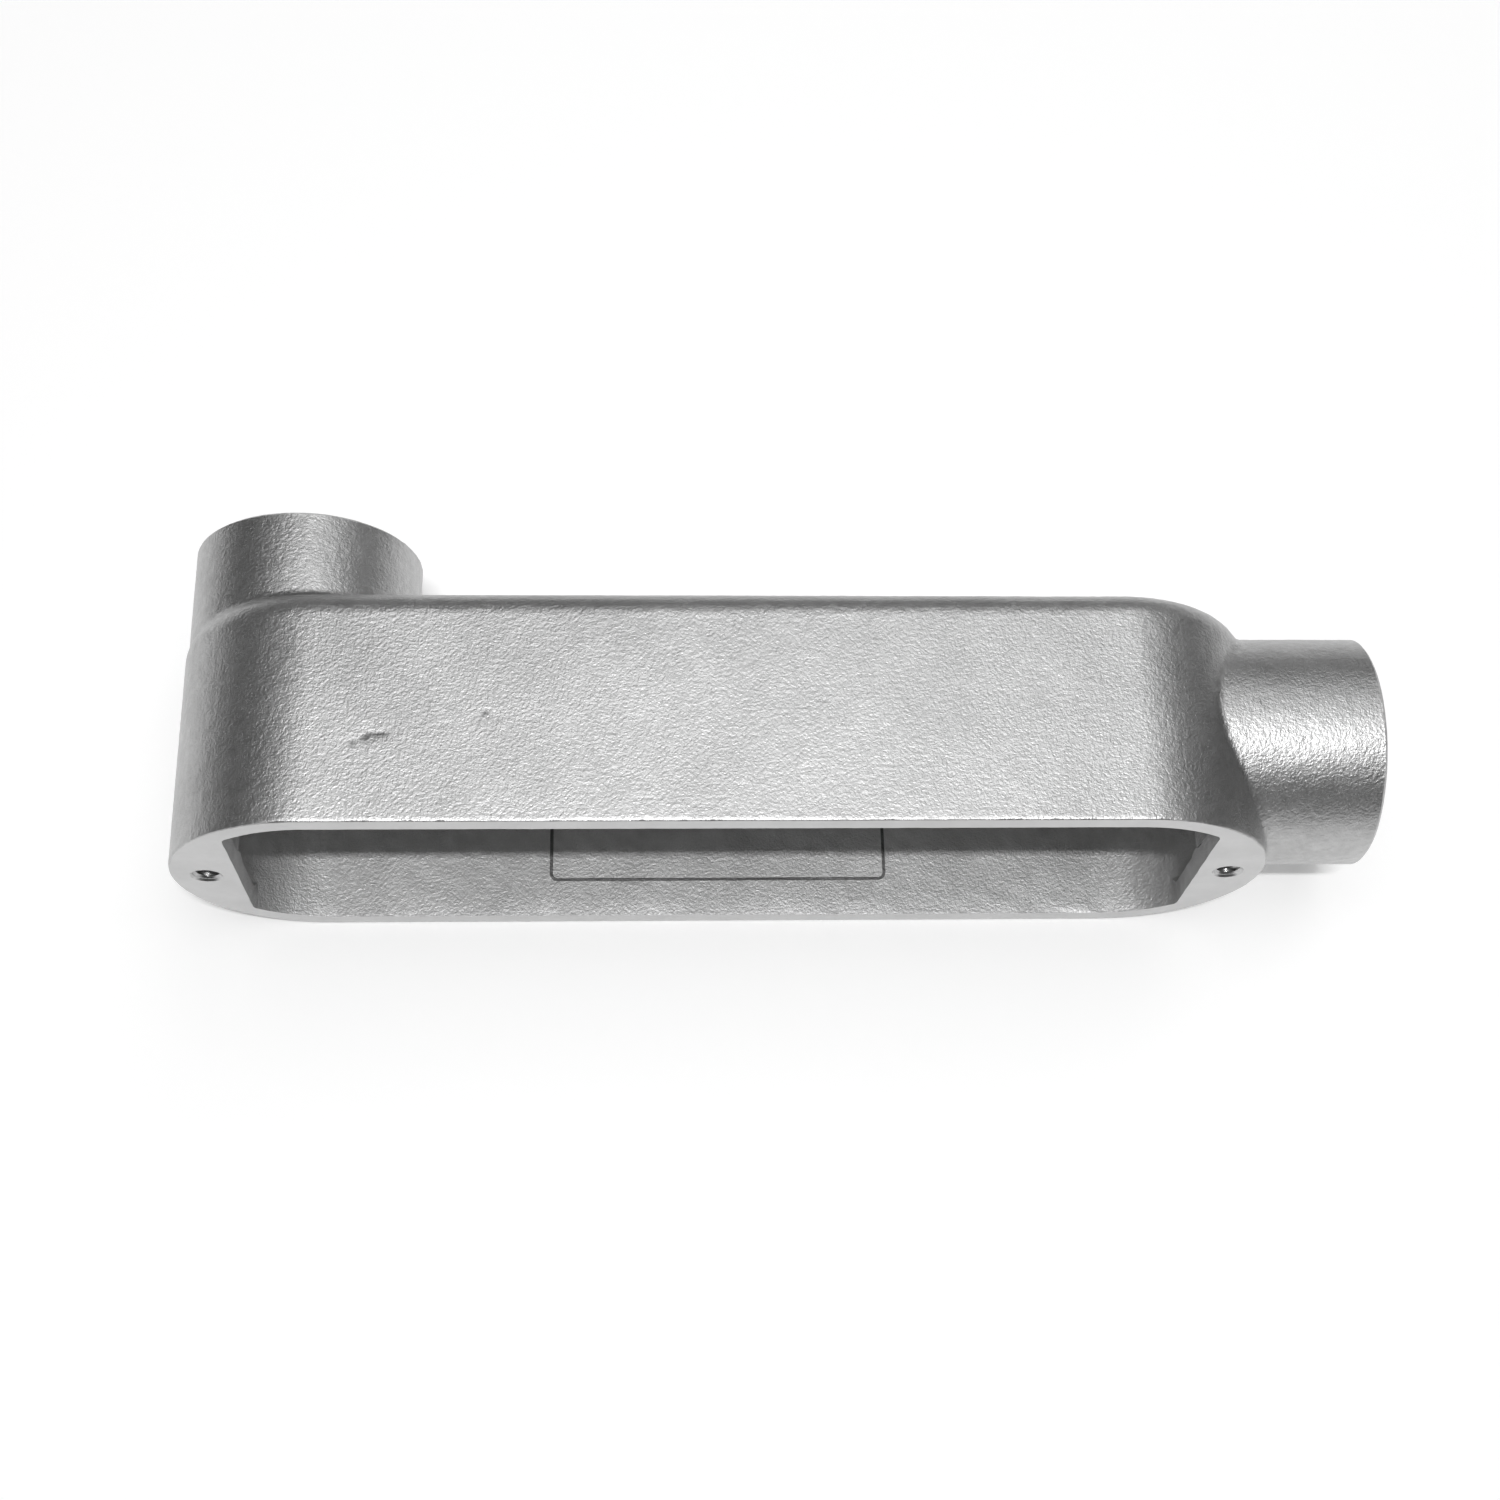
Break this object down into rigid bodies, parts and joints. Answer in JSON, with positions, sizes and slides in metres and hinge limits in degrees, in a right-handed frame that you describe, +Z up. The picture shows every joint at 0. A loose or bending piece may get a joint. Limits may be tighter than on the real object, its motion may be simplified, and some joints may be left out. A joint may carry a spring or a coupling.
{
  "type": "conduit body",
  "caption": "Cast aluminium conduit body with an open front, a threaded hub on one end and a threaded hub on its back.",
  "frame": {"origin": "middle of the underside of the whole casting's box, which lies on its lower side wall", "axes": "+X along the box towards the end hub's mouth, +Y towards the back hub's mouth, so the open front faces -Y, and +Z up across the width"},
  "size_m": [0.178, 0.0514, 0.0435],
  "materials": {
    "cast_aluminium": "satin"
  },
  "bodies": {
    "root": {"conduit_body": "cast_aluminium"}
  },
  "joints": []
}
